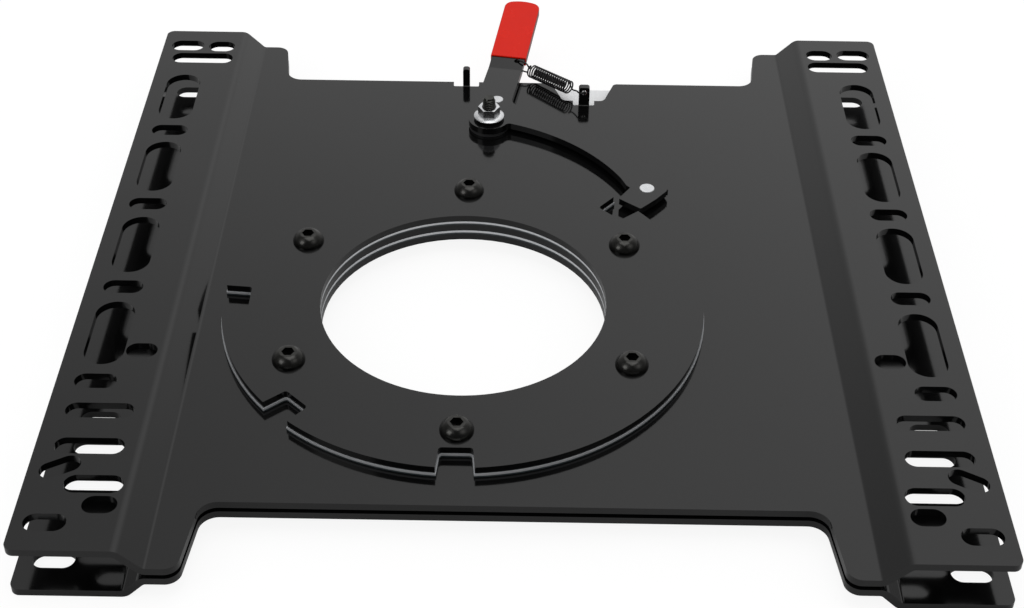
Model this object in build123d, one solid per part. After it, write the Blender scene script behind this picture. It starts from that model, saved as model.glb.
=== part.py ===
"""Swivel seat base: two pressed plates that turn on each other, with a sprung latch lever.

Millimetres. The origin is the swivel axis at the top face of the upper plate's web.
+Z is up, +Y is the rear, where the lever sticks out, and +X is to the right.
"""
import math
import os

from build123d import *

# Stack through the cable hole, from the floor side up
hole_radius = 77.5
stack_radius = 130.0
lower_slide = 2.4
upper_slide = 2.2
slide_play = 0.1
disc_thickness = 4.0
spacer_radius = 112.0
bore_play = 0.3
slide_proud = 0.5

# Pressed plates, sized outwards from the stack
sheet = 4.0
plate_shift = 28.9        # plate centre line, right of the swivel axis
web_margin = 11.1         # from the stack to the nearer flange bend
rear_margin = 103.5       # from the stack to the web's rear edge
front_margin = 19.3
rear_tongue = 39.9        # tongues beyond the web's edges
front_tongue = 43.7
top_flange = 63.0         # from the bend to the side edge
bottom_flange = 61.8
knee_step = 2.5           # the lower plate bends that much further out
top_knee = stack_radius + plate_shift + web_margin
bottom_knee = top_knee + knee_step
web_rear = stack_radius + rear_margin
web_front = -stack_radius - front_margin
plate_rear = web_rear + rear_tongue
plate_front = web_front - front_tongue
tongue_step = 20.0        # from the bend to the tongue's inner side
tongue_taper = 4.7
tongue_corner = 7.5
web_corner = 9.5
flange_corner = 4.5
bend_inner = 2.5
top_rise = 11.3
bottom_drop = 8.8

# Latch notches in the lock disc
notch_angles = (45.0, 180.0, -135.0, -90.0)
notch_depth = 14.3
notch_half = 8.5          # at the floor
notch_flare = 1.25        # widening of each side up to the rim
notch_corner = 1.8
notch_overrun = 10.0

# Clamp screws and nuts
screw_angles = (90.0, 30.0, -30.0, -90.0, -150.0, 150.0)
screw_inset = 9.0         # from the spacer's outside to the screw circle
screw_circle = spacer_radius - screw_inset
screw_radius = 5.0
screw_clearance = 0.25
head_radius = 8.75
head_height = 5.5
head_rim = 0.7
head_flat = 4.6
head_bulge_ratio = (0.84, 0.64)     # a point of the dome, as shares of radius and height
socket_across = 6.0
socket_depth = 3.0
nut_across = 16.0
nut_height = 5.0
nut_round_ratio = 0.57    # radius of a nut's turned outside, as a share of its width
screw_past_nut = 1.0

# Slots of one side: inset from the side edge, distance from the rear or front end, length,
# width and turn
top_rear_slots = (
    (15.8, 18.3, 21.0, 12.0, 0.0),
    (38.0, 19.0, 16.8, 12.0, 0.0),
    (27.5, 33.7, 38.8, 11.8, 0.0),
)
top_front_slots = (
    (39.3, 141.1, 16.3, 11.2, 0.0),
    (26.4, 94.8, 34.3, 10.9, 0.0),
    (26.3, 69.3, 34.4, 11.1, 0.0),
    (15.2, 54.4, 20.5, 11.0, -30.0),
    (33.4, 43.2, 28.7, 11.9, 0.0),
    (38.9, 29.6, 16.8, 11.4, 0.0),
    (15.7, 17.7, 20.3, 11.1, 0.0),
)
bottom_rear_slots = (
    (28.9, 33.1, 38.8, 11.8, 0.0),
)
bottom_front_slots = (
    (20.4, 117.1, 20.4, 11.0, 0.0),
    (27.8, 96.4, 34.3, 10.9, 0.0),
    (27.7, 70.9, 34.4, 11.1, 0.0),
    (16.6, 56.0, 20.5, 11.0, -30.0),
    (17.1, 19.3, 20.3, 11.1, 0.0),
)
row_slots = (
    (20.0, 80.2, 51.2, 21.0, 90.0),
    (20.0, 118.6, 21.5, 11.0, 0.0),
)
slot_pitch = 77.0
slot_rows = 4

# Rear edge of the upper plate: cut-out, tab reliefs and bent-up tabs; depths from that edge
cutout_centre = 69.5
cutout_depth = 20.5
cutout_floor_half = 13.1
cutout_mouth_half = 20.2
cutout_floor_corner = 4.0
cutout_mouth_corner = 3.0
relief_corner = 1.0
anchor_relief = (63.0, 76.5, 25.8)
stop_relief = (-13.8, 2.5, 5.2)
anchor_tab = (66.4, 73.2, 26.0, 13.0)
stop_tab = (-7.7, -3.3, 5.0, 12.4)
tab_root = 2.0
tab_corner = 1.6
anchor_hole_z = 9.4
anchor_hole_radius = 1.7

# Pivot stud
pivot_x = 10.0
pivot_margin = 51.4       # from the stack to the pivot
stud_radius = 4.0
stud_top = 21.0
stud_head_radius = 8.0
stud_head_height = 1.3
stud_tip = 0.8
bush_radius = 6.0
bush_over = 0.1
washer_radius = 12.0
pivot_clearance = 0.1
nut_flange_radius = 9.4
nut_flange_height = 1.6
nut_flange_chamfer = 1.0
pivot_nut_across = 13.0
pivot_nut_height = 8.0
nut_chamfer = 0.9

# Lever, given latched
boss_radius = 12.6
arm_gap = 10.8            # the arm's inner radius is that much under the stack's
arm_width = 20.8
arm_lead = 2.1            # from the arm's inner circle to the pivot
arm_lean_angle = 18.7     # way from the pivot to the arm's centre, from -Y towards -X
arm_start_angle = 70.6
arm_end_angle = 20.1
arm_overlap_angle = 1.0   # by which the hook laps over the arm
latch_angle = 45.0
release_angle = 6.4       # turn from latched to just free of the disc
latch_floor_gap = 2.3
latch_side_gap = 0.5
latch_shoulder_gap = 1.2
latch_corner = 1.5
latch_tip_corner = 1.2
shoulder_corner = 0.5
hook_inner = (1.8, 12.5)  # corners of the hook: past the rim, across the notch
hook_outer = (13.7, -9.2)
outer_corner = 2.0
crotch_corner = 8.0
boss_blend = 3.0
blend_ratio = (0.9, -0.4)   # where the arm leaves the boss, in boss radii
handle_angle = 16.1       # from +Y towards +X
handle_offset = -0.7
handle_width = 21.8
handle_flat = 60.0
handle_slope_angle = 10.4
handle_length = 125.6
handle_crown = 2.6
handle_tip_corner = 5.0
handle_bend = 8.0
eye_along = 68.0
eye_across = 6.2
eye_radius = 1.9

# Grip
grip_from = 70.6
grip_wall = 0.8
grip_clearance = 0.05
grip_edge = 0.6

# Rivets
pawl_rivet_place = (7.1, 1.3)     # past the rim, across the notch
pawl_rivet_radius = 4.5
lever_rivet_place = (22.3, 1.8)   # along and across the handle
lever_rivet_radius = 3.8
rivet_proud = 0.3
rivet_below = 1.0
rivet_clearance = 0.05

# Return spring
spring_wire = 0.6
spring_coil = 3.9
spring_hook = 12.0
spring_reach = 1.5

# Rear glide pad
pad_centre_x = 69.8
pad_width = 60.0
pad_depth = 28.0
pad_edge_gap = 1.0
pad_play = 0.3
pad_corner = 2.0

bend_shift = math.tan(math.radians(22.5))
top_level = 0.0
top_under = top_level - sheet
spacer_low = top_under - slide_play
spacer_high = top_level + slide_play
bottom_level = spacer_low - lower_slide
bottom_under = bottom_level - sheet
disc_low = spacer_high + upper_slide
disc_top = disc_low + disc_thickness
notch_floor = stack_radius - notch_depth
pivot_y = stack_radius + pivot_margin
arm_inner = stack_radius - arm_gap
arm_aim = math.radians(arm_lean_angle)
arm_centre = (pivot_x - (arm_inner + arm_lead) * math.sin(arm_aim),
              pivot_y - (arm_inner + arm_lead) * math.cos(arm_aim))


def slot_places(half, rear_slots, front_slots):
    """Place the slots of both sides, given as insets from the sides and the ends."""
    one_side = [(half - inset, plate_rear - gap, *rest) for inset, gap, *rest in rear_slots]
    one_side += [(half - inset, plate_front + gap, *rest) for inset, gap, *rest in front_slots]
    both = []
    for away, y, length, width, turn in one_side:
        both.append((plate_shift + away, y, length, width, turn))
        both.append((plate_shift - away, y, length, width, -turn))
    return both


def slot_tool(places):
    """Join all slots into one sketch."""
    shapes = [Pos(x, y) * Rot(0, 0, turn) * SlotOverall(length, width)
              for x, y, length, width, turn in places]
    return Sketch() + shapes


def through(sketch):
    """Make a cutter that reaches through both plates."""
    reach = 60.0
    return extrude(Pos(0, 0, -reach) * sketch, amount=2 * reach)


def plate_outline(half, rear_details):
    """Plan outline of a plate, with extra corners (x, y, radius) along the rear web edge."""
    def right(away, y, radius):
        return plate_shift + away, y, radius

    def left(away, y, radius):
        return plate_shift - away, y, radius

    root = top_knee - tongue_step
    tip = root + tongue_taper
    corners = [
        right(tip, plate_front, tongue_corner),
        right(half, plate_front, flange_corner),
        right(half, plate_rear, flange_corner),
        right(tip, plate_rear, tongue_corner),
        right(root, web_rear, web_corner),
        *rear_details,
        left(root, web_rear, web_corner),
        left(tip, plate_rear, tongue_corner),
        left(half, plate_rear, flange_corner),
        left(half, plate_front, flange_corner),
        left(tip, plate_front, tongue_corner),
        left(root, web_front, web_corner),
        right(root, web_front, web_corner),
    ]
    points = [(x, y) for x, y, radius in corners]
    radii = [radius for x, y, radius in corners]
    return make_face(FilletPolyline(*points, radius=radii, close=True).edges())


def pressed_blank(level, half, knee, rise):
    """Full-length strip with both side flanges stepped by `rise`, before it is trimmed."""
    run = abs(rise)
    side = math.copysign(1.0, rise)
    shift = side * sheet * bend_shift
    outer = bend_inner + sheet
    first, second = (bend_inner, outer) if rise > 0 else (outer, bend_inner)
    upper = [(half, level + rise, 0.0), (knee + run, level + rise, second),
             (knee, level, first)]
    low = level - sheet
    lower = [(half, low + rise, 0.0), (knee + run + shift, low + rise, first),
             (knee + shift, low, second)]
    loop = upper + [(-x, z, r) for x, z, r in reversed(upper)]
    loop += [(-x, z, r) for x, z, r in lower]
    loop += [(x, z, r) for x, z, r in reversed(lower)]
    wire = FilletPolyline(*[(x, z) for x, z, r in loop], radius=[r for x, z, r in loop],
                          close=True)
    section = Plane.XZ.offset(-plate_rear) * Pos(plate_shift, 0) * make_face(wire.edges())
    return extrude(section, amount=plate_rear - plate_front)


def bent_tab(place):
    """Tab bent up from the web, with its front face on the given line."""
    x_low, x_high, depth, height = place
    face_y = web_rear - depth
    outline = FilletPolyline(
        (face_y - tab_root, top_under), (face_y + sheet, top_under),
        (face_y + sheet, height), (face_y, height), (face_y, top_level),
        (face_y - tab_root, top_level),
        radius=[0.0, sheet - tab_corner, 0.0, 0.0, tab_corner / 2, 0.0], close=True)
    face = Plane.YZ.offset(x_low) * make_face(outline.edges())
    tab = extrude(face, amount=x_high - x_low)
    crown = tab.edges().filter_by(Axis.Y).group_by(Axis.Z)[-1]
    return fillet(crown, tab_corner)


def make_top_plate():
    """Upper plate: rear cut-out, tabs, slots, large bore and stud hole."""
    x_low, x_high, relief_depth = anchor_relief
    stop_low, stop_high, stop_depth = stop_relief
    floor_y = web_rear - cutout_depth
    relief_y = web_rear - relief_depth
    stop_y = web_rear - stop_depth
    details = [
        (cutout_centre + cutout_mouth_half, web_rear, cutout_mouth_corner),
        (cutout_centre + cutout_floor_half, floor_y, cutout_floor_corner),
        (x_high, floor_y, 0.0),
        (x_high, relief_y, relief_corner),
        (x_low, relief_y, relief_corner),
        (x_low, floor_y, 0.0),
        (cutout_centre - cutout_floor_half, floor_y, cutout_floor_corner),
        (cutout_centre - cutout_mouth_half, web_rear, cutout_mouth_corner),
        (stop_high, web_rear, 0.0),
        (stop_high, stop_y, relief_corner),
        (stop_low, stop_y, relief_corner),
        (stop_low, web_rear, 0.0),
    ]
    half = top_knee + top_flange
    blank = pressed_blank(top_level, half, top_knee, top_rise)
    plate = blank & through(plate_outline(half, details))
    rows = [(inset, gap + row * slot_pitch, *rest) for row in range(slot_rows)
            for inset, gap, *rest in row_slots]
    holes = slot_tool(slot_places(half, top_rear_slots + tuple(rows), top_front_slots))
    holes += Circle(spacer_radius + bore_play)
    holes += Pos(pivot_x, pivot_y) * Circle(stud_radius)
    plate -= through(holes)
    anchor = bent_tab(anchor_tab)
    eye = Pos((anchor_tab[0] + anchor_tab[1]) / 2, web_rear - anchor_tab[2], anchor_hole_z)
    anchor -= eye * Rot(90, 0, 0) * Cylinder(anchor_hole_radius, 4 * sheet)
    return plate + anchor + bent_tab(stop_tab)


def screw_places():
    """Centres of the clamp screws."""
    return [(screw_circle * math.cos(math.radians(a)), screw_circle * math.sin(math.radians(a)))
            for a in screw_angles]


def screw_holes():
    """Clearance holes for the clamp screws."""
    return [Pos(x, y) * Circle(screw_radius + screw_clearance) for x, y in screw_places()]


def make_bottom_plate():
    """Lower plate: floor slots, cable hole and screw holes."""
    half = bottom_knee + bottom_flange
    blank = pressed_blank(bottom_level, half, bottom_knee, -bottom_drop)
    plate = blank & through(plate_outline(half, []))
    holes = slot_tool(slot_places(half, bottom_rear_slots, bottom_front_slots))
    holes += Circle(hole_radius)
    holes += screw_holes()
    return plate - through(holes)


def disc_plan(grow):
    """Disc outline with its latch notches, grown outwards by `grow`."""
    plan = Circle(stack_radius + grow)
    reach = stack_radius + notch_overrun
    mouth = notch_half + notch_flare * (reach - notch_floor) / notch_depth - grow
    floor = notch_half - grow
    base = notch_floor + grow
    outline = FilletPolyline((base, -floor), (reach, -mouth), (reach, mouth), (base, floor),
                             radius=[notch_corner, 0.0, 0.0, notch_corner], close=True)
    notch = make_face(outline.edges())
    plan -= [Rot(0, 0, angle) * notch for angle in notch_angles]
    return plan - Circle(hole_radius) - screw_holes()


def ring(low, high, outer):
    """Plain ring of the stack, with the screw holes."""
    plan = Circle(outer) - Circle(hole_radius) - screw_holes()
    return extrude(Pos(0, 0, low) * plan, amount=high - low)


def make_lower_slide_ring():
    """Slide ring between the two plates."""
    return ring(bottom_level, spacer_low, stack_radius)


def make_spacer_ring():
    """Spacer inside the bore of the upper plate; it takes the clamp load of the screws."""
    return ring(spacer_low, spacer_high, spacer_radius)


def make_upper_slide_ring():
    """Slide sheet under the lock disc; its edge shows all round the disc."""
    return extrude(Pos(0, 0, spacer_high) * disc_plan(slide_proud), amount=upper_slide)


def make_lock_disc():
    """Lock disc with the latch notches."""
    return extrude(Pos(0, 0, disc_low) * disc_plan(0.0), amount=disc_thickness)


def make_screw():
    """Button-head socket screw, its head resting on the lock disc."""
    end = bottom_under - nut_height - screw_past_nut
    bulge = (head_radius * head_bulge_ratio[0], disc_top + head_height * head_bulge_ratio[1])
    crown = ThreePointArc((head_radius, disc_top + head_rim), bulge,
                          (head_flat, disc_top + head_height))
    sides = Polyline((head_flat, disc_top + head_height), (0, disc_top + head_height), (0, end),
                     (screw_radius - stud_tip, end), (screw_radius, end + stud_tip),
                     (screw_radius, disc_top), (head_radius, disc_top),
                     (head_radius, disc_top + head_rim))
    face = make_face(crown.edges() + sides.edges())
    screw = revolve(Plane.XZ * face, Axis.Z)
    socket = RegularPolygon(socket_across / 2, 6, major_radius=False)
    return screw - extrude(Pos(0, 0, disc_top + head_height) * socket, amount=-socket_depth)


def make_nut():
    """Thin hexagon nut under the lower plate."""
    plan = RegularPolygon(nut_across / 2, 6, major_radius=False) - Circle(screw_radius)
    nut = extrude(Pos(0, 0, bottom_under) * plan, amount=-nut_height)
    cone = Pos(0, 0, bottom_under - nut_height / 2) * Cylinder(nut_across * nut_round_ratio, nut_height)
    return nut & chamfer(cone.edges(), nut_chamfer)


def make_rear_glide_pad():
    """Glide strip on the lower plate, seen through the rear cut-out."""
    high = top_under - pad_play
    centre_y = web_rear - pad_edge_gap - pad_depth / 2
    plan = Pos(pad_centre_x, centre_y, bottom_level) * RectangleRounded(pad_width, pad_depth,
                                                                        pad_corner)
    return extrude(plan, amount=high - bottom_level)


def make_pivot_stud():
    """Threaded stud with a flat head under the upper plate."""
    shaft = Cylinder(stud_radius, stud_top - top_under, align=(Align.CENTER, Align.CENTER, Align.MIN))
    shaft = chamfer(shaft.edges().group_by(Axis.Z)[-1], stud_tip)
    head = Pos(0, 0, -stud_head_height) * Cylinder(
        stud_head_radius, stud_head_height, align=(Align.CENTER, Align.CENTER, Align.MIN))
    return Pos(pivot_x, pivot_y, top_under) * (shaft + head)


def make_pivot_bush():
    """Sleeve that the lever turns on; the nut clamps it to the plate."""
    plan = Circle(bush_radius) - Circle(stud_radius + pivot_clearance)
    place = Pos(pivot_x, pivot_y, top_level)
    return extrude(place * plan, amount=disc_top + bush_over - top_level)


def make_pivot_washer():
    """Pale slide washer under the boss of the lever."""
    plan = Circle(washer_radius) - Circle(bush_radius + pivot_clearance)
    return extrude(Pos(pivot_x, pivot_y, top_level) * plan, amount=disc_low - pivot_clearance)


def make_pivot_nut():
    """Flanged hexagon nut on the stud."""
    low = disc_top + bush_over
    flange = extrude(Pos(0, 0, low) * Circle(nut_flange_radius), amount=nut_flange_height)
    flange = chamfer(flange.edges().group_by(Axis.Z)[-1], nut_flange_chamfer)
    plan = RegularPolygon(pivot_nut_across / 2, 6, major_radius=False)
    body = extrude(Pos(0, 0, low) * plan, amount=pivot_nut_height)
    crown = extrude(Pos(0, 0, low) * Circle(pivot_nut_across * nut_round_ratio), amount=pivot_nut_height)
    body &= chamfer(crown.edges().group_by(Axis.Z)[-1], nut_chamfer)
    nut = flange + body
    nut -= extrude(Pos(0, 0, low) * Circle(stud_radius), amount=pivot_nut_height)
    return Pos(pivot_x, pivot_y, 0) * nut


def released(shape):
    """Turn a latched shape about the pivot until the hook is free of the disc."""
    pivot = Pos(pivot_x, pivot_y)
    return pivot * Rot(0, 0, release_angle) * pivot.inverse() * shape


def notch_point(past_rim, across):
    """Point beside the rim of the disc, given along and across the latched notch."""
    aim = math.radians(latch_angle)
    radius = stack_radius + past_rim
    return (radius * math.cos(aim) - across * math.sin(aim),
            radius * math.sin(aim) + across * math.cos(aim))


def arm_point(radius, angle):
    """Point on a circle round the arm's centre."""
    aim = math.radians(angle)
    return arm_centre[0] + radius * math.cos(aim), arm_centre[1] + radius * math.sin(aim)


def arm_plan():
    """Curved arm between the boss and the hook."""
    outer = arm_inner + arm_width
    x, y = notch_point(*hook_outer)
    hook_aim = math.degrees(math.atan2(y - arm_centre[1], x - arm_centre[0]))
    band = Pos(*arm_centre) * (Circle(outer) - Circle(arm_inner))
    far = 2 * outer
    wedge = Polyline(arm_centre, arm_point(arm_inner, arm_end_angle), arm_point(outer, hook_aim),
                     arm_point(far, hook_aim), arm_point(far, (arm_start_angle + hook_aim) / 2),
                     arm_point(far, arm_start_angle), close=True)
    return band & make_face(wedge.edges())


def hook_plan():
    """Hook that drops into a notch."""
    lap = arm_end_angle + arm_overlap_angle
    tip = latch_floor_gap - notch_depth
    tip_half = notch_half - latch_side_gap
    root_half = notch_half + notch_flare - latch_side_gap
    outline = FilletPolyline(
        arm_point(arm_inner, lap), notch_point(*hook_inner),
        notch_point(latch_shoulder_gap, root_half), notch_point(tip, tip_half),
        notch_point(tip, -tip_half), notch_point(latch_shoulder_gap, -root_half),
        notch_point(*hook_outer), arm_point(arm_inner + arm_width / 2, lap),
        radius=[0.0, latch_corner, shoulder_corner, latch_tip_corner, latch_tip_corner,
                shoulder_corner, outer_corner, 0.0], close=True)
    return make_face(outline.edges())


def handle_solid(wall, start, over):
    """Handle strip, grown by `wall` on every side, from `start` along the pivot line."""
    slope = math.radians(handle_slope_angle)
    length = handle_length + over
    far = length + sheet
    low, high = disc_low - wall, disc_top + wall
    pull = (sheet / 2 + wall) * math.tan(slope / 2)
    low_end = low + (far - handle_flat - pull) * math.tan(slope)
    high_end = high + (far - handle_flat + pull) * math.tan(slope)
    side = FilletPolyline(
        (0, low), (handle_flat + pull, low), (far, low_end),
        (far, high_end), (handle_flat - pull, high), (0, high),
        radius=[0.0, handle_bend, 0.0, 0.0, handle_bend, 0.0], close=True)
    half = handle_width / 2 + wall
    strip = extrude(Plane.YZ * make_face(side.edges()), amount=half, both=True)
    ends = Polyline((half, length - handle_crown), (half, start), (-half, start),
                    (-half, length - handle_crown))
    crown = ThreePointArc((-half, length - handle_crown), (0, length),
                          (half, length - handle_crown))
    plan = make_face(ends.edges() + crown.edges())
    plan = fillet(plan.vertices().group_by(Axis.Y)[-1], handle_tip_corner + wall)
    strip &= through(plan)
    return Pos(pivot_x, pivot_y, 0) * Rot(0, 0, -handle_angle) * Pos(handle_offset, 0) * strip


def handle_place(along, across):
    """Plan position of a point on the handle."""
    turn = math.radians(handle_angle)
    side = across + handle_offset
    return (pivot_x + along * math.sin(turn) + side * math.cos(turn),
            pivot_y + along * math.cos(turn) - side * math.sin(turn))


def handle_level(along):
    """Height of the handle's top face at a distance from the pivot."""
    return disc_top + max(along - handle_flat, 0.0) * math.tan(math.radians(handle_slope_angle))


def make_latch_lever():
    """Flat lever: boss, curved arm with hook, and a cranked handle."""
    boss = Pos(pivot_x, pivot_y) * Circle(boss_radius)
    flat = boss + arm_plan() + hook_plan()
    body = extrude(Pos(0, 0, disc_low) * flat, amount=disc_thickness)
    body += handle_solid(0.0, 0.0, 0.0)
    uprights = body.edges().filter_by(Axis.Z)
    near_boss = Vertex(pivot_x + blend_ratio[0] * boss_radius, pivot_y + blend_ratio[1] * boss_radius,
                       disc_low)
    near_crotch = Vertex(*handle_place(arm_width, handle_width / 2), disc_low)
    body = fillet(uprights.sort_by_distance(near_boss)[0], boss_blend)
    uprights = body.edges().filter_by(Axis.Z)
    body = fillet(uprights.sort_by_distance(near_crotch)[0], crotch_corner)
    holes = Pos(pivot_x, pivot_y) * Circle(bush_radius + pivot_clearance)
    holes += Pos(*notch_point(*pawl_rivet_place)) * Circle(pawl_rivet_radius + rivet_clearance)
    holes += Pos(*handle_place(*lever_rivet_place)) * Circle(lever_rivet_radius + rivet_clearance)
    holes += Pos(*handle_place(eye_along, eye_across)) * Circle(eye_radius)
    return released(body - through(holes))


def make_grip_sleeve():
    """Dipped grip over the end of the handle."""
    outer = handle_solid(grip_wall, grip_from, grip_wall)
    rim = outer.faces().sort_by_distance(Vertex(*handle_place(grip_from, 0.0), disc_top))[0]
    outer = fillet(outer.edges() - rim.edges(), grip_edge)
    return released(outer - handle_solid(grip_clearance, 0.0, grip_clearance))


def rivet(place, radius):
    """Rivet through the lever, almost flush on top."""
    low = disc_low - rivet_below
    body = extrude(Pos(*place, low) * Circle(radius), amount=disc_top + rivet_proud - low)
    return released(chamfer(body.edges().group_by(Axis.Z)[-1], rivet_proud))


def spring_hook_wire(start, start_way, mouth, end_way):
    """Bent wire from the end of the coil into a hole and out behind it."""
    before = mouth - end_way * spring_reach
    end = mouth + end_way * (sheet + spring_reach)
    path = Spline(start, before, end, tangents=[start_way, end_way])
    return sweep(Plane(origin=start, z_dir=start_way) * Circle(spring_wire), path=path)


def make_return_spring():
    """Closed-coil tension spring from the handle to the anchor tab, its turns drawn as a tube."""
    spot = released(Pos(*handle_place(eye_along, eye_across)))
    eye = Vector(spot.position.X, spot.position.Y, handle_level(eye_along))
    tab_back = web_rear - anchor_tab[2] + sheet
    hold = Vector((anchor_tab[0] + anchor_tab[1]) / 2, tab_back, anchor_hole_z)
    axis = (hold - eye).normalized()
    start = eye + axis * spring_hook
    length = (hold - eye).length - 2 * spring_hook
    wall = Circle(spring_coil + spring_wire) - Circle(spring_coil - spring_wire)
    plane = Plane(origin=start, z_dir=axis)
    coil = extrude(plane * wall, amount=length)
    caps = [extrude(Plane(origin=start + axis * at, z_dir=axis) * Circle(spring_coil),
                    amount=2 * spring_wire) for at in (0.0, length - 2 * spring_wire)]
    first = spring_hook_wire(start, axis * -1, eye, Vector(0, 0, -1))
    last = spring_hook_wire(start + axis * length, axis, hold, Vector(0, -1, 0))
    return coil + caps + first + last


def make_all():
    """Every piece under its node name."""
    pieces = {
        "bottom_plate": make_bottom_plate(),
        "lower_slide_ring": make_lower_slide_ring(),
        "spacer_ring": make_spacer_ring(),
        "upper_slide_ring": make_upper_slide_ring(),
        "lock_disc": make_lock_disc(),
        "rear_glide_pad": make_rear_glide_pad(),
        "top_plate": make_top_plate(),
        "pivot_stud": make_pivot_stud(),
        "pivot_bush": make_pivot_bush(),
        "pivot_washer": make_pivot_washer(),
        "pivot_nut": make_pivot_nut(),
        "latch_lever": make_latch_lever(),
        "grip_sleeve": make_grip_sleeve(),
        "pawl_rivet": rivet(notch_point(*pawl_rivet_place), pawl_rivet_radius),
        "lever_rivet": rivet(handle_place(*lever_rivet_place), lever_rivet_radius),
        "return_spring": make_return_spring(),
    }
    screw = make_screw()
    nut = make_nut()
    for number, (x, y) in enumerate(screw_places(), start=1):
        pieces[f"disc_screw_{number}"] = Pos(x, y, 0) * screw
        pieces[f"disc_nut_{number}"] = Pos(x, y, 0) * nut
    return pieces


os.makedirs("parts", exist_ok=True)
for node, piece in make_all().items():
    export_step(piece, f"parts/{node}.step")
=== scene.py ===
import math

import bmesh
import bpy
from mathutils import Matrix, Vector


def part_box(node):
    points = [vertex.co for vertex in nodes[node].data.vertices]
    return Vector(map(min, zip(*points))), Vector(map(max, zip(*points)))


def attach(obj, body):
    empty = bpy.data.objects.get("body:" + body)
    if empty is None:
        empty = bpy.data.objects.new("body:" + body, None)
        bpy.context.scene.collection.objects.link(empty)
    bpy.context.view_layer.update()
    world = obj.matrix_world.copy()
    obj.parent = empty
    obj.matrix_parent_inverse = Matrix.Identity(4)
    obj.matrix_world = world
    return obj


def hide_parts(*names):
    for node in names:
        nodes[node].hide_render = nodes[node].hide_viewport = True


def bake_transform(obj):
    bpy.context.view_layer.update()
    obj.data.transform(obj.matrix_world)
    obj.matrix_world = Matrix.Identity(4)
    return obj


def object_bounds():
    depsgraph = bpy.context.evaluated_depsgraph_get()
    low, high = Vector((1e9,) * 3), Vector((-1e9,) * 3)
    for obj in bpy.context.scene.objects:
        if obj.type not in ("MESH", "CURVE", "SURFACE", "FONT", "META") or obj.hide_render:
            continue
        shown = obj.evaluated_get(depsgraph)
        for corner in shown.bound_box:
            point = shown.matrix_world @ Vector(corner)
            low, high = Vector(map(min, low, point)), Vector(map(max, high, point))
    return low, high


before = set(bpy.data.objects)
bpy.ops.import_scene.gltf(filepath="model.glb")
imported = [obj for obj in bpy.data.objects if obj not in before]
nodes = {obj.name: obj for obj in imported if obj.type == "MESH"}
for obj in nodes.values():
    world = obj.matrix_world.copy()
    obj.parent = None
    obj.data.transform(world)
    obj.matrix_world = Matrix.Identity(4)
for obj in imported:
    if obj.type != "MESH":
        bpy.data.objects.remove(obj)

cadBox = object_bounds()


def feed(tree, socket, value):      # a value is another node's socket, a number or a colour
    if isinstance(value, bpy.types.NodeSocket):
        tree.links.new(value, socket)
    else:
        socket.default_value = value


def mathNode(tree, operation, *values):
    node = tree.nodes.new("ShaderNodeMath")
    node.operation = operation
    for socket, value in zip(node.inputs, values):
        feed(tree, socket, value)
    return node.outputs[0]


def mixNode(tree, kind, factor, first, second):     # kind is RGBA or FLOAT
    node = tree.nodes.new("ShaderNodeMix")
    node.data_type = kind
    for name, value in (("Factor", factor), ("A", first), ("B", second)):
        feed(tree, node.inputs[name], value)
    return node.outputs["Result"]


def rangeNode(tree, value, low, high, toLow=0.0, toHigh=1.0, smooth=False):
    node = tree.nodes.new("ShaderNodeMapRange")
    node.interpolation_type = "SMOOTHSTEP" if smooth else "LINEAR"
    for name, limit in (("From Min", low), ("From Max", high),
                        ("To Min", toLow), ("To Max", toHigh)):
        node.inputs[name].default_value = limit
    tree.links.new(value, node.inputs["Value"])
    return node.outputs["Result"]


# Shared by every finish: soft patches, a fine grain, and edges rounded in the shading only.
grainSetup = {"patchDetail": 4.0, "grainDetail": 2.0, "edgeSamples": 4,
              "patchLow": 0.3, "patchHigh": 0.7}


def makeGrainGroup():
    group = bpy.data.node_groups.new("surfaceGrain", "ShaderNodeTree")
    group.interface.new_socket("Place", in_out="INPUT", socket_type="NodeSocketVector")
    for name in ("Patch Scale", "Grain Scale", "Grain Height", "Grain Depth", "Edge Radius"):
        group.interface.new_socket(name, in_out="INPUT", socket_type="NodeSocketFloat")
    group.interface.new_socket("Mask", in_out="OUTPUT", socket_type="NodeSocketFloat")
    group.interface.new_socket("Normal", in_out="OUTPUT", socket_type="NodeSocketVector")
    entry = group.nodes.new("NodeGroupInput")
    leave = group.nodes.new("NodeGroupOutput")
    patch = group.nodes.new("ShaderNodeTexNoise")
    patch.inputs["Detail"].default_value = grainSetup["patchDetail"]
    grain = group.nodes.new("ShaderNodeTexNoise")
    grain.inputs["Detail"].default_value = grainSetup["grainDetail"]
    bump = group.nodes.new("ShaderNodeBump")
    edge = group.nodes.new("ShaderNodeBevel")
    edge.samples = grainSetup["edgeSamples"]
    link = group.links.new
    link(entry.outputs["Place"], patch.inputs["Vector"])
    link(entry.outputs["Place"], grain.inputs["Vector"])
    link(entry.outputs["Patch Scale"], patch.inputs["Scale"])
    link(entry.outputs["Grain Scale"], grain.inputs["Scale"])
    link(entry.outputs["Grain Height"], bump.inputs["Strength"])
    link(entry.outputs["Grain Depth"], bump.inputs["Distance"])
    link(entry.outputs["Edge Radius"], edge.inputs["Radius"])
    link(edge.outputs["Normal"], bump.inputs["Normal"])
    link(grain.outputs["Fac"], bump.inputs["Height"])
    link(patch.outputs["Fac"], leave.inputs["Mask"])
    link(bump.outputs["Normal"], leave.inputs["Normal"])
    return group


grainGroup = makeGrainGroup()


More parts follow.
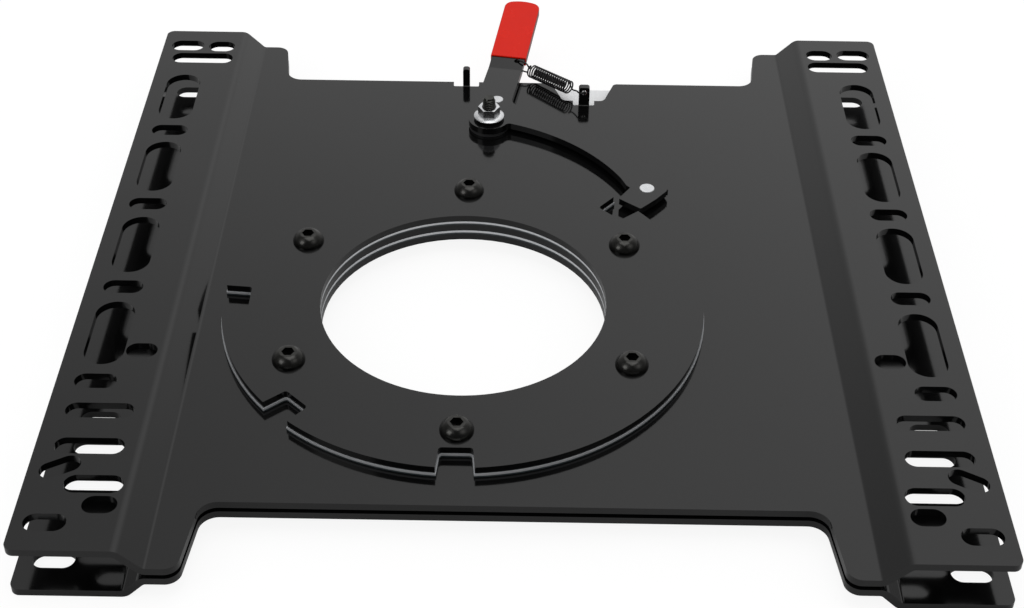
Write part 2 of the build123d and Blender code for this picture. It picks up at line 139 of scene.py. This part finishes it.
def grainMaterial(name, dark, light, rough, patchScale, grainScale, grainHeight, grainDepth,
                  metallic=0.0, gloss=0.5, edgeRadius=0.0):
    material = bpy.data.materials.new(name)
    material.use_nodes = True
    tree = material.node_tree
    tree.nodes.clear()
    output = tree.nodes.new("ShaderNodeOutputMaterial")
    shader = tree.nodes.new("ShaderNodeBsdfPrincipled")
    place = tree.nodes.new("ShaderNodeTexCoord")
    grain = tree.nodes.new("ShaderNodeGroup")
    grain.node_tree = grainGroup
    for socket, value in (("Place", place.outputs["Object"]), ("Patch Scale", patchScale),
                          ("Grain Scale", grainScale), ("Grain Height", grainHeight),
                          ("Grain Depth", grainDepth), ("Edge Radius", edgeRadius)):
        feed(tree, grain.inputs[socket], value)
    mask = grain.outputs["Mask"]
    for socket, value in (("Base Color", mixNode(tree, "RGBA", mask, dark, light)),
                          ("Roughness", rangeNode(tree, mask, grainSetup["patchLow"],
                                                  grainSetup["patchHigh"], *rough)),
                          ("Normal", grain.outputs["Normal"]), ("Metallic", metallic),
                          ("Specular IOR Level", gloss)):
        feed(tree, shader.inputs[socket], value)
    tree.links.new(shader.outputs["BSDF"], output.inputs["Surface"])
    return material


# Mixes one more colour into a finish: under shows where the mask is 0, over where it is 1.
def layColour(material, mask, under=None, over=None):
    tree = material.node_tree
    base = tree.nodes["Principled BSDF"].inputs["Base Color"]
    own = base.links[0].from_socket
    feed(tree, base, mixNode(tree, "RGBA", mask, under or own, over or own))


finishes = {
    "blackCoat": {"dark": (0.0018, 0.0018, 0.0019, 1), "light": (0.0036, 0.0036, 0.0037, 1),
                  "rough": (0.08, 0.12), "patchScale": 14.0, "grainScale": 420.0,
                  "grainHeight": 0.01, "grainDepth": 0.0002},
    "blackScrew": {"dark": (0.032, 0.032, 0.03, 1), "light": (0.08, 0.079, 0.076, 1),
                   "rough": (0.16, 0.24), "metallic": 1.0, "patchScale": 420.0,
                   "grainScale": 1500.0, "grainHeight": 0.12, "grainDepth": 0.0003},
    "zinc": {"dark": (0.62, 0.63, 0.65, 1), "light": (0.82, 0.83, 0.84, 1),
             "rough": (0.16, 0.3), "metallic": 1.0, "patchScale": 260.0,
             "grainScale": 1800.0, "grainHeight": 0.15, "grainDepth": 0.0003,
             "edgeRadius": 0.0005},
    "darkSteel": {"dark": (0.014, 0.014, 0.013, 1), "light": (0.09, 0.09, 0.084, 1),
                  "rough": (0.14, 0.26), "metallic": 1.0, "patchScale": 300.0,
                  "grainScale": 2000.0, "grainHeight": 0.2, "grainDepth": 0.0003},
    "palePad": {"dark": (0.86, 0.87, 0.88, 1), "light": (0.92, 0.93, 0.94, 1),
                "rough": (0.4, 0.55), "patchScale": 60.0, "grainScale": 1200.0,
                "grainHeight": 0.1, "grainDepth": 0.0003},
    # The pivot washer's near-black colour is painted shade for the narrow gap under the lever's
    # boss.
    "washerShade": {"dark": (0.02, 0.02, 0.021, 1), "light": (0.035, 0.035, 0.036, 1),
                    "rough": (0.3, 0.45), "patchScale": 90.0, "grainScale": 1500.0,
                    "grainHeight": 0.1, "grainDepth": 0.0002},
    "redGrip": {"dark": (0.70, 0.009, 0.001, 1), "light": (0.78, 0.014, 0.002, 1),
                "rough": (0.2, 0.3), "gloss": 0.2, "patchScale": 90.0,
                "grainScale": 500.0, "grainHeight": 0.04, "grainDepth": 0.0003},
    "springWire": {"dark": (0.012, 0.012, 0.012, 1), "light": (0.03, 0.03, 0.03, 1),
                   "rough": (0.2, 0.3), "metallic": 0.6, "patchScale": 400.0,
                   "grainScale": 2500.0, "grainHeight": 0.1, "grainDepth": 0.0002},
}
materials = {name: grainMaterial(name, **finish) for name, finish in finishes.items()}

# A slide ring is pale, with painted shade in a dark colour over the lower part of its edge, and
# dimmer at the rim than in the bore.
slideFace = {"dark": (0.52, 0.53, 0.55, 1), "light": (0.66, 0.67, 0.69, 1),
             "rough": (0.35, 0.5), "patchScale": 60.0, "grainScale": 1200.0,
             "grainHeight": 0.1, "grainDepth": 0.0003}
# paintedShade is the dark colour painted as shade on the lower part of a ring's edge; shadeShare
# is the share of the height it covers.
slideEdge = {"paintedShade": (0.026, 0.034, 0.037, 1), "shadeShare": 0.42, "blend": 0.0002,
             "boreTo": 0.09, "rimFrom": 0.1, "rimTone": 0.6}


def slideMaterial(ring):
    low, high = (corner[2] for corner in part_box(ring))
    split = low + slideEdge["shadeShare"] * (high - low)
    material = grainMaterial(ring, **slideFace)
    tree = material.node_tree
    place = tree.nodes.new("ShaderNodeTexCoord")
    height = tree.nodes.new("ShaderNodeSeparateXYZ")
    away = tree.nodes.new("ShaderNodeVectorMath")       # distance from the swivel axis
    away.operation = "LENGTH"
    tree.links.new(place.outputs["Object"], height.inputs[0])
    tree.links.new(place.outputs["Object"], away.inputs[0])
    # Below the split height the ring is painted shade; at the rim the pale part is dimmed towards
    # the same dark colour.
    paleAbove = rangeNode(tree, height.outputs["Z"], split - slideEdge["blend"],
                      split + slideEdge["blend"], smooth=True)
    tone = rangeNode(tree, away.outputs["Value"], slideEdge["boreTo"], slideEdge["rimFrom"],
                     1.0, slideEdge["rimTone"])
    layColour(material, mathNode(tree, "MULTIPLY", paleAbove, tone), under=slideEdge["paintedShade"])
    return material


for ring in ("upper_slide_ring", "lower_slide_ring"):
    materials[ring] = slideMaterial(ring)

# The grip's rounded sides are painted with shade: they fall off to a deep red as they turn away
# from the view.
gripSideShade = {"from": 0.6, "to": 0.85, "colour": (0.16, 0.005, 0.002, 1)}
gripTree = materials["redGrip"].node_tree
facing = gripTree.nodes.new("ShaderNodeLayerWeight")
paintedSideShade = rangeNode(gripTree, facing.outputs["Facing"], gripSideShade["from"], gripSideShade["to"],
                     smooth=True)
layColour(materials["redGrip"], paintedSideShade, over=gripSideShade["colour"])

numbers = range(1, 7)       # the disc's screws and their nuts
wornBy = {
    "upper_slide_ring": ("upper_slide_ring",),
    "lower_slide_ring": ("lower_slide_ring",),
    "blackCoat": ("bottom_plate", "top_plate", "lock_disc", "spacer_ring", "latch_lever"),
    "blackScrew": tuple(f"disc_screw_{number}" for number in numbers),
    "zinc": tuple(f"disc_nut_{number}" for number in numbers) + (
        "pivot_bush", "pawl_rivet", "lever_rivet"),
    "palePad": ("rear_glide_pad",),
    # The washer gets the painted shade colour.
    "washerShade": ("pivot_washer",),
    "redGrip": ("grip_sleeve",),
}
for look, names in wornBy.items():
    for name in names:
        mesh = nodes[name].data
        mesh.materials.clear()
        mesh.materials.append(materials[look])
print("materials done")


def meshFrom(shape, name):      # the bmesh is used up
    mesh = bpy.data.meshes.new(name)
    shape.to_mesh(mesh)
    shape.free()
    return mesh


def newObject(name, data):
    item = bpy.data.objects.new(name, data)
    bpy.context.collection.objects.link(item)
    return item


turned = {"steps": 64, "weld": 1e-6, "sharp": 28.0}     # sharp: edges over so many degrees


# A finished bmesh becomes an object that stands for a CAD node and rides on its body.
def addPiece(shape, name, look, node, body):
    bmesh.ops.recalc_face_normals(shape, faces=shape.faces[:])
    mesh = meshFrom(shape, name)
    mesh.materials.append(materials[look])
    mesh.shade_smooth()
    mesh.set_sharp_from_angle(angle=math.radians(turned["sharp"]))
    piece = newObject(name, mesh)
    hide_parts(node)
    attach(piece, body)


# Spins an outline of (radius, height) points round the upright axis.
def spinOutline(shape, outline, closed):
    verts = [shape.verts.new((radius, 0, height)) for radius, height in outline]
    edges = [shape.edges.new(pair) for pair in zip(verts, verts[1:])]
    if closed:
        edges.append(shape.edges.new((verts[-1], verts[0])))
    bmesh.ops.spin(shape, geom=verts + edges, cent=(0, 0, 0), axis=(0, 0, 1),
                   angle=2 * math.pi, steps=turned["steps"], use_merge=True)
    bmesh.ops.remove_doubles(shape, verts=shape.verts[:], dist=turned["weld"])


pivotPlace = (0.01, 0.1814, 0)      # the stud and the nut are made at the origin, then moved here
stud = {"headRadius": 0.008, "headFrom": -0.0053, "headTo": -0.004, "headEdge": 0.0003,
        "shank": 0.004, "shankTo": 0.0062, "root": 0.0033, "rootFrom": 0.0066,
        "tip": 0.0029, "tipEdge": 0.0006, "top": 0.0214, "crest": 0.00398,
        "pitch": 0.00125, "threadFrom": 0.0078, "threadTo": 0.0202, "ridge": 0.46,
        "sink": 0.0001, "perTurn": 32}


def makeStud():
    shape = bmesh.new()
    head, edge = stud["headRadius"], stud["headEdge"]
    spinOutline(shape, [(0, stud["headFrom"]), (head - edge, stud["headFrom"]),
                        (head, stud["headFrom"] + edge), (head, stud["headTo"]),
                        (stud["shank"], stud["headTo"]), (stud["shank"], stud["shankTo"]),
                        (stud["root"], stud["rootFrom"]),
                        (stud["root"], stud["top"] - stud["tipEdge"]),
                        (stud["tip"], stud["top"]), (0, stud["top"])], closed=False)
    half = stud["ridge"] * stud["pitch"]        # thread ridge, wound upwards round the core
    root, low = stud["root"] - stud["sink"], stud["threadFrom"]
    ridge = [shape.verts.new(place) for place in ((root, 0, low - half),
                                                  (stud["crest"], 0, low),
                                                  (root, 0, low + half))]
    sides = [shape.edges.new(ridge[:2]), shape.edges.new(ridge[1:])]
    shape.faces.new(ridge)
    turns = (stud["threadTo"] - low) / stud["pitch"]
    steps = round(turns * stud["perTurn"])
    wound = bmesh.ops.spin(shape, geom=ridge + sides, cent=(0, 0, 0), axis=(0, 0, 1),
                           dvec=(0, 0, stud["pitch"] / stud["perTurn"]),
                           angle=2 * math.pi * steps / stud["perTurn"], steps=steps)
    shape.faces.new([item for item in wound["geom_last"]
                     if isinstance(item, bmesh.types.BMVert)])
    bmesh.ops.translate(shape, verts=shape.verts[:], vec=pivotPlace)
    addPiece(shape, "threadedStud", "darkSteel", "pivot_stud", "turntable")


flangeNut = {"low": 0.0064, "foot": 0.0061, "rimRadius": 0.0094, "rimLow": 0.0078,
             "rimHigh": 0.0084, "rimUnder": 0.0004, "rimOver": 0.0003, "rimEdge": 0.0002,
             "neck": 0.0068, "neckTop": 0.0095, "bodyLow": 0.0088, "top": 0.0149,
             "across": 0.0119, "turn": 30.0, "hole": 0.0041, "holeEdge": 0.0004,
             "crown": 0.0061, "crownSlope": 0.5, "cutRadius": 0.009, "cutBelow": 0.001}


def makeHexagon(nut):       # six flats, cut to a turned crown and a round hole
    shape = bmesh.new()
    corner = nut["across"] / math.sqrt(3)
    bmesh.ops.create_cone(shape, cap_ends=True, segments=6, radius1=corner, radius2=corner,
                          depth=nut["top"] - nut["bodyLow"],
                          matrix=Matrix.Translation((0, 0, (nut["top"] + nut["bodyLow"]) / 2))
                          @ Matrix.Rotation(math.radians(nut["turn"]), 4, "Z"))
    crown = bmesh.new()
    hole, edge, cut = nut["hole"], nut["holeEdge"], nut["cutRadius"]
    below = nut["bodyLow"] - nut["cutBelow"]
    spinOutline(crown, [(hole, below), (cut, below),
                        (cut, nut["top"] - (cut - nut["crown"]) * nut["crownSlope"]),
                        (nut["crown"], nut["top"]), (hole + edge, nut["top"]),
                        (hole, nut["top"] - edge)], closed=True)
    pieces = []
    for part, name in ((shape, "hexagon"), (crown, "crown")):
        bmesh.ops.recalc_face_normals(part, faces=part.faces[:])
        pieces.append(newObject(name, meshFrom(part, name)))
    body, cutter = pieces
    trim = body.modifiers.new("trim", "BOOLEAN")
    trim.operation = "INTERSECT"
    trim.solver = "EXACT"
    trim.object = cutter
    bpy.context.view_layer.update()
    shape = bmesh.new()
    shape.from_object(body, bpy.context.evaluated_depsgraph_get())
    for item in pieces:
        bpy.data.objects.remove(item)
    return shape


def makeNut():
    nut = flangeNut
    shape = makeHexagon(nut)
    hole, rim, edge = nut["hole"], nut["rimRadius"], nut["rimEdge"]
    spinOutline(shape, [(hole, nut["low"]), (nut["foot"], nut["low"]),
                        (rim - nut["rimUnder"], nut["rimLow"]), (rim, nut["rimLow"] + edge),
                        (rim, nut["rimHigh"]), (rim - nut["rimOver"], nut["rimHigh"] + edge),
                        (nut["neck"], nut["neckTop"]), (hole, nut["neckTop"])], closed=True)
    bmesh.ops.translate(shape, verts=shape.verts[:], vec=pivotPlace)
    addPiece(shape, "flangeNut", "zinc", "pivot_nut", "turntable")


makeStud()
makeNut()
print("stud and nut done")


# One wire: a loop round the handle's edge, the coil, a loop round the tab's edge.
spring = {"coilFrom": (0.0362, 0.2377, 0.0066), "coilTo": (0.0604, 0.2161, 0.0078),
          "coil": 0.0041, "wire": 0.0005, "turns": 18, "perTurn": 14, "fineness": 3,
          "roundness": 2,
          "handleHook": ((0.0352, 0.2412, 0.0052), (0.0337, 0.2426, 0.0084),
                         (0.0312, 0.2440, 0.0092), (0.0285, 0.2462, 0.0090),
                         (0.0270, 0.2476, 0.0086), (0.0268, 0.2476, 0.0060),
                         (0.0272, 0.2472, 0.0034), (0.0290, 0.2455, 0.0026),
                         (0.0315, 0.2430, 0.0028), (0.0335, 0.2412, 0.0034)),
          "tabHook": ((0.0622, 0.2128, 0.0080), (0.0645, 0.2108, 0.0090),
                      (0.0656, 0.2090, 0.0093), (0.0662, 0.2072, 0.0094),
                      (0.0680, 0.2066, 0.0094), (0.0697, 0.2072, 0.0094),
                      (0.0698, 0.2095, 0.0094), (0.0697, 0.2120, 0.0093),
                      (0.0686, 0.2132, 0.0091), (0.0670, 0.2138, 0.0088))}


def springLine():       # the wire's points, from the handle to the tab
    start, finish = Vector(spring["coilFrom"]), Vector(spring["coilTo"])
    axis = (finish - start).normalized()
    side = axis.cross(Vector((0, 0, 1))).normalized()
    lift = side.cross(axis)
    steps = spring["turns"] * spring["perTurn"]
    points = [Vector(place) for place in reversed(spring["handleHook"])]
    for step in range(steps + 1):
        turn = 2 * math.pi * step / spring["perTurn"]
        points.append(start.lerp(finish, step / steps)
                      + (side * math.sin(turn) + lift * math.cos(turn)) * spring["coil"])
    return points + [Vector(place) for place in spring["tabHook"]]


def makeSpring():
    points = springLine()
    curve = bpy.data.curves.new("returnSpring", "CURVE")
    curve.dimensions = "3D"
    line = curve.splines.new("NURBS")
    line.points.add(len(points) - 1)
    for point, place in zip(line.points, points):
        point.co = (*place, 1.0)
    line.order_u = 3        # set after the points, or it stays at 2
    line.use_endpoint_u = True
    line.resolution_u = spring["fineness"]
    curve.bevel_depth = spring["wire"]
    curve.bevel_resolution = spring["roundness"]
    curve.use_fill_caps = True
    drawn = newObject("springCurve", curve)
    bpy.context.view_layer.update()
    mesh = bpy.data.meshes.new_from_object(drawn.evaluated_get(
        bpy.context.evaluated_depsgraph_get()))
    bpy.data.objects.remove(drawn)
    mesh.name = "returnSpring"
    mesh.materials.clear()
    mesh.materials.append(materials["springWire"])
    mesh.shade_smooth()
    piece = newObject("returnSpring", mesh)
    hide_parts("return_spring")
    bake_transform(piece)


makeSpring()
print("spring done")


# The floor glows to the camera and keeps a share of shadow. It is darker in the gloss, and it
# lies a little under the plate, clear from below, so that the underside can be seen.
floorLook = {"size": 4.0, "gap": 0.0002, "tone": 0.9, "shadow": 0.15, "glow": 1.05,
             "glossTone": 0.45, "glossGlow": 0.1}


def makeFloor():
    shape = bmesh.new()
    low = cadBox[0][2] - floorLook["gap"]
    bmesh.ops.create_grid(shape, x_segments=1, y_segments=1, size=floorLook["size"],
                          matrix=Matrix.Translation((0, 0, low)))
    mesh = meshFrom(shape, "floor")
    floor = newObject("floor", mesh)
    material = bpy.data.materials.new("floor")
    material.use_nodes = True
    tree = material.node_tree
    tree.nodes.clear()
    output = tree.nodes.new("ShaderNodeOutputMaterial")
    matt = tree.nodes.new("ShaderNodeBsdfDiffuse")
    glow = tree.nodes.new("ShaderNodeEmission")
    glow.inputs["Strength"].default_value = floorLook["glow"]
    clear = tree.nodes.new("ShaderNodeBsdfTransparent")
    path = tree.nodes.new("ShaderNodeLightPath")
    side = tree.nodes.new("ShaderNodeNewGeometry")
    glossy = path.outputs["Is Glossy Ray"]
    seen = mathNode(tree, "MULTIPLY", path.outputs["Is Camera Ray"], 1.0 - floorLook["shadow"])
    share = mathNode(tree, "MULTIPLY_ADD", glossy, floorLook["glossGlow"], seen)
    tones = [(floorLook[name],) * 3 + (1,) for name in ("tone", "glossTone")]
    feed(tree, matt.inputs["Color"], mixNode(tree, "RGBA", glossy, *tones))
    above = tree.nodes.new("ShaderNodeMixShader")
    whole = tree.nodes.new("ShaderNodeMixShader")
    for mix, values in ((above, (share, matt.outputs[0], glow.outputs[0])),
                        (whole, (side.outputs["Backfacing"], above.outputs[0],
                                 clear.outputs[0]))):
        for socket, value in zip(mix.inputs, values):
            tree.links.new(value, socket)
    tree.links.new(whole.outputs[0], output.inputs["Surface"])
    mesh.materials.append(material)


# The world lights the object evenly, is white to the camera, and shows these soft boxes in
# reflections only. Each fades out round its own direction, the faster the tighter it is.
worldLook = {"fill": 0.8, "camera": 1.0, "gloom": 0.1}
softBoxes = {"rightRear": {"toward": (0.258, 0.676, 0.69), "strength": 0.42, "tight": 25.0},
             "rearWall": {"toward": (0.114, 0.972, 0.205), "strength": 1.05, "tight": 2.46},
             "overhead": {"toward": (0.0, 0.56, 0.828), "strength": 0.5, "tight": 80.0},
             "frontLeft": {"toward": (-0.6, -0.35, 0.72), "strength": 0.9, "tight": 25.0},
             "frontRight": {"toward": (0.6, -0.35, 0.72), "strength": 0.9, "tight": 25.0},
             "screwLeft": {"toward": (-0.27, 0.47, 0.83), "strength": 1.2, "tight": 110.0},
             "screwRight": {"toward": (0.27, 0.47, 0.83), "strength": 1.2, "tight": 110.0}}


def makeWorld():
    world = bpy.data.worlds.new("studio")
    bpy.context.scene.world = world
    world.use_nodes = True
    tree = world.node_tree
    tree.nodes.clear()
    output = tree.nodes.new("ShaderNodeOutputWorld")
    back = tree.nodes.new("ShaderNodeBackground")
    place = tree.nodes.new("ShaderNodeTexCoord")
    path = tree.nodes.new("ShaderNodeLightPath")
    sky = worldLook["gloom"]
    for box in softBoxes.values():
        toward = tree.nodes.new("ShaderNodeVectorMath")
        toward.operation = "DOT_PRODUCT"
        toward.inputs[1].default_value = Vector(box["toward"]).normalized()
        tree.links.new(place.outputs["Generated"], toward.inputs[0])
        steep = mathNode(tree, "MULTIPLY_ADD", toward.outputs["Value"], box["tight"],
                         -box["tight"])
        fade = mathNode(tree, "EXPONENT", steep)
        sky = mathNode(tree, "MULTIPLY_ADD", fade, box["strength"], sky)
    light = mixNode(tree, "FLOAT", path.outputs["Is Glossy Ray"], worldLook["fill"], sky)
    strength = mixNode(tree, "FLOAT", path.outputs["Is Camera Ray"], light,
                       worldLook["camera"])
    tree.links.new(strength, back.inputs["Strength"])
    tree.links.new(back.outputs[0], output.inputs["Surface"])


lamps = {"topLamp": {"place": (0.1, 0.1, 1.6), "size": 1.2, "power": 6.0},
         "sideLamp": {"place": (-1.3, -0.9, 1.0), "size": 0.8, "power": 3.0}}


def makeLamps():        # each looks at the origin
    for name, values in lamps.items():
        lamp = bpy.data.lights.new(name, "AREA")
        lamp.size = values["size"]
        lamp.energy = values["power"]
        holder = newObject(name, lamp)
        holder.location = values["place"]
        aim = (-Vector(values["place"])).to_track_quat("-Z", "Y")
        holder.rotation_euler = aim.to_euler()


camera = {"place": (0.02787, -0.74154, 0.60216), "elevation": 38.8898, "yaw": -0.1172,
          "roll": 0.8226, "lens": 61.66, "sensor": 36.0, "nearest": 0.01}


def makeCamera():       # it looks down by the elevation, then leans by the roll
    height, yaw, roll = (math.radians(camera[name]) for name in ("elevation", "yaw", "roll"))
    ahead = Vector((math.sin(yaw) * math.cos(height), math.cos(yaw) * math.cos(height),
                    -math.sin(height)))
    right = Vector((math.cos(yaw), -math.sin(yaw), 0))
    up = right.cross(ahead)
    tilted = right * math.cos(roll) + up * math.sin(roll)
    upright = up * math.cos(roll) - right * math.sin(roll)
    lens = bpy.data.cameras.new("camera")
    lens.lens = camera["lens"]
    lens.sensor_width = camera["sensor"]
    lens.clip_start = camera["nearest"]
    holder = newObject("camera", lens)
    turn = Matrix((tilted, upright, -ahead)).transposed().to_4x4()
    holder.matrix_world = Matrix.Translation(camera["place"]) @ turn
    bpy.context.scene.camera = holder


makeFloor()
makeWorld()
makeLamps()
makeCamera()
bpy.context.scene.view_settings.view_transform = "Standard"
print("studio done")
